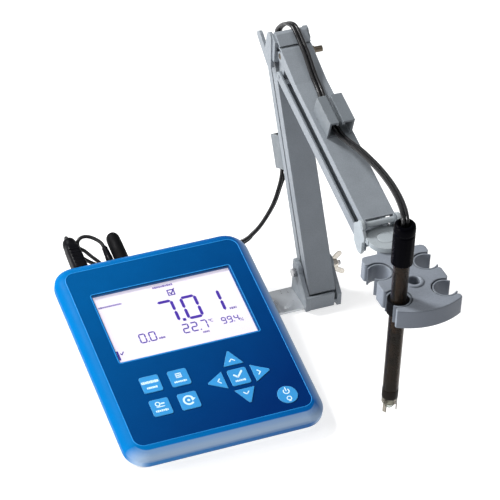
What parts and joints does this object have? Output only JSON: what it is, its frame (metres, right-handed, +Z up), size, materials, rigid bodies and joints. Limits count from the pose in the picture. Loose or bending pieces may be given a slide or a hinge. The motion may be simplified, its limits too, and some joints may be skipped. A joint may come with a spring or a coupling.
{
  "type": "bench ph meter with electrode arm",
  "caption": "Bench pH meter with sloping display and keypad, on a base plate with a two-section parallelogram electrode arm, swivel holder and combination electrode.",
  "frame": {"origin": "on the ground under the middle foot of the meter case", "axes": "+X to the right seen from the front, towards the arm; +Y towards the rear connectors; +Z up"},
  "size_m": [0.2377, 0.3008, 0.211],
  "materials": {
    "case_blue": "glossy",
    "panel_film": "satin film",
    "display_window": "clear",
    "display_ink": "matte",
    "display_cell": "smooth",
    "backlight": "matte",
    "key_blue": "satin",
    "dome_film": "satin",
    "board_green": "solder resist",
    "case_grey": "fine grain",
    "screw_steel": "zinc plated",
    "rubber_black": "matte",
    "nickel": "nickel plated",
    "plug_black": "satin",
    "plate_steel": "brushed",
    "arm_grey": "satin grey paint",
    "pin_steel": "turned",
    "wing_chrome": "plated",
    "holder_grey": "satin",
    "cap_black": "satin",
    "body_smoke": "smoked clear plastic",
    "stem_glass": "clear",
    "inner_amber": "clear",
    "element_dark": "matte",
    "lead_black": "matte"
  },
  "bodies": {
    "case": {"top_shell": "case_blue", "keypad_overlay": "panel_film", "lcd_window": "display_window", "lcd_segments": "display_ink", "lcd_glass": "display_cell", "lcd_backlight": "backlight", "dome_sheet": "dome_film", "main_pcb": "board_green", "base_shell": "case_grey", "case_screws": "screw_steel", "pcb_screws": "screw_steel", "rubber_feet": "rubber_black", "bnc_jack": "nickel", "temp_jack": "plug_black", "aux_jack": "nickel", "power_jack": "plug_black", "bnc_plug": "plug_black", "temp_plug": "plug_black", "aux_cap": "rubber_black", "base_plate": "plate_steel", "arm_bracket": "arm_grey", "bracket_screws": "screw_steel", "base_bolt": "pin_steel", "lead_meter": "lead_black"},
    "lower_rear": {"lower_rear_bar": "arm_grey", "lower_cable_clip": "arm_grey", "lead_lower": "lead_black"},
    "lower_front": {"lower_front_bar": "arm_grey", "base_front_pin": "pin_steel"},
    "elbow": {"elbow_head": "arm_grey", "elbow_pins": "pin_steel", "elbow_bolt": "pin_steel", "elbow_nut": "pin_steel", "lead_elbow": "lead_black"},
    "upper_top": {"upper_top_bar": "arm_grey", "upper_cable_clip": "arm_grey", "lead_drop": "lead_black"},
    "upper_bottom": {"upper_bottom_bar": "arm_grey"},
    "wrist": {"wrist_bracket": "arm_grey", "wrist_pins": "pin_steel", "swivel_pin": "pin_steel"},
    "holder": {"electrode_holder": "holder_grey", "holder_ring": "rubber_black"},
    "electrode": {"electrode_cap": "cap_black", "electrode_body": "body_smoke", "inner_tube": "inner_amber", "reference_element": "element_dark", "glass_bulb": "stem_glass", "guard_collar": "body_smoke"},
    "wing_nut": {"base_wing_nut": "wing_chrome"},
    "key_1_body": {"key_1": "key_blue"},
    "key_2_body": {"key_2": "key_blue"},
    "key_3_body": {"key_3": "key_blue"},
    "key_4_body": {"key_4": "key_blue"},
    "key_up_body": {"key_up": "key_blue"},
    "key_down_body": {"key_down": "key_blue"},
    "key_left_body": {"key_left": "key_blue"},
    "key_right_body": {"key_right": "key_blue"},
    "key_enter_body": {"key_enter": "key_blue"},
    "key_power_body": {"key_power": "key_blue"}
  },
  "joints": [
    {"name": "lower_arm_hinge", "type": "hinge", "parent": "case", "child": "lower_rear", "pos_m": [0.1325, 0.064, 0.0233], "axis": [1, 0, 0], "range_deg": [-12, 30], "deforming": ["lead_meter"]},
    {"name": "lower_front_hinge", "type": "hinge", "parent": "case", "child": "lower_front", "pos_m": [0.1325, 0.0535, 0.022], "axis": [1, 0, 0], "range_deg": [-12, 30]},
    {"name": "elbow_level_hinge", "type": "hinge", "parent": "lower_rear", "child": "elbow", "pos_m": [0.1325, 0.14817, 0.17673], "axis": [1, 0, 0], "range_deg": [-30, 12], "deforming": ["lead_elbow"]},
    {"name": "upper_arm_hinge", "type": "hinge", "parent": "elbow", "child": "upper_top", "pos_m": [0.1325, 0.12027, 0.19223], "axis": [1, 0, 0], "range_deg": [-40, 12]},
    {"name": "upper_bottom_hinge", "type": "hinge", "parent": "elbow", "child": "upper_bottom", "pos_m": [0.1325, 0.12027, 0.17323], "axis": [1, 0, 0], "range_deg": [-40, 12]},
    {"name": "wrist_level_hinge", "type": "hinge", "parent": "upper_top", "child": "wrist", "pos_m": [0.1325, -0.04411, 0.14695], "axis": [1, 0, 0], "range_deg": [-12, 40], "deforming": ["lead_drop"]},
    {"name": "holder_swivel", "type": "hinge", "parent": "wrist", "child": "holder", "pos_m": [0.1325, -0.05631, 0.13705], "axis": [0, 0, 1], "range_deg": [-45, 45]},
    {"name": "electrode_slide", "type": "slide", "parent": "holder", "child": "electrode", "axis": [0, 0, 1], "range_m": [-0.02, 0.03]},
    {"name": "wing_nut_turn", "type": "hinge", "parent": "case", "child": "wing_nut", "pos_m": [0.15, 0.064, 0.0233], "axis": [1, 0, 0], "continuous": true},
    {"name": "key_1_press", "type": "slide", "parent": "case", "child": "key_1_body", "axis": [0, 0.2204, -0.9754], "range_m": [0, 0.0008], "stiffness_N_per_m": 300},
    {"name": "key_2_press", "type": "slide", "parent": "case", "child": "key_2_body", "axis": [0, 0.2204, -0.9754], "range_m": [0, 0.0008], "stiffness_N_per_m": 300},
    {"name": "key_3_press", "type": "slide", "parent": "case", "child": "key_3_body", "axis": [0, 0.2204, -0.9754], "range_m": [0, 0.0008], "stiffness_N_per_m": 300},
    {"name": "key_4_press", "type": "slide", "parent": "case", "child": "key_4_body", "axis": [0, 0.2204, -0.9754], "range_m": [0, 0.0008], "stiffness_N_per_m": 300},
    {"name": "key_up_press", "type": "slide", "parent": "case", "child": "key_up_body", "axis": [0, 0.2204, -0.9754], "range_m": [0, 0.0008], "stiffness_N_per_m": 300},
    {"name": "key_down_press", "type": "slide", "parent": "case", "child": "key_down_body", "axis": [0, 0.2204, -0.9754], "range_m": [0, 0.0008], "stiffness_N_per_m": 300},
    {"name": "key_left_press", "type": "slide", "parent": "case", "child": "key_left_body", "axis": [0, 0.2204, -0.9754], "range_m": [0, 0.0008], "stiffness_N_per_m": 300},
    {"name": "key_right_press", "type": "slide", "parent": "case", "child": "key_right_body", "axis": [0, 0.2204, -0.9754], "range_m": [0, 0.0008], "stiffness_N_per_m": 300},
    {"name": "key_enter_press", "type": "slide", "parent": "case", "child": "key_enter_body", "axis": [0, 0.2204, -0.9754], "range_m": [0, 0.0008], "stiffness_N_per_m": 300},
    {"name": "key_power_press", "type": "slide", "parent": "case", "child": "key_power_body", "axis": [0, 0.2204, -0.9754], "range_m": [0, 0.0008], "stiffness_N_per_m": 300}
  ],
  "couplings": [
    {"joint": "lower_front_hinge", "follows": "lower_arm_hinge", "ratio": 1},
    {"joint": "elbow_level_hinge", "follows": "lower_arm_hinge", "ratio": -1},
    {"joint": "upper_bottom_hinge", "follows": "upper_arm_hinge", "ratio": 1},
    {"joint": "wrist_level_hinge", "follows": "upper_arm_hinge", "ratio": -1}
  ]
}
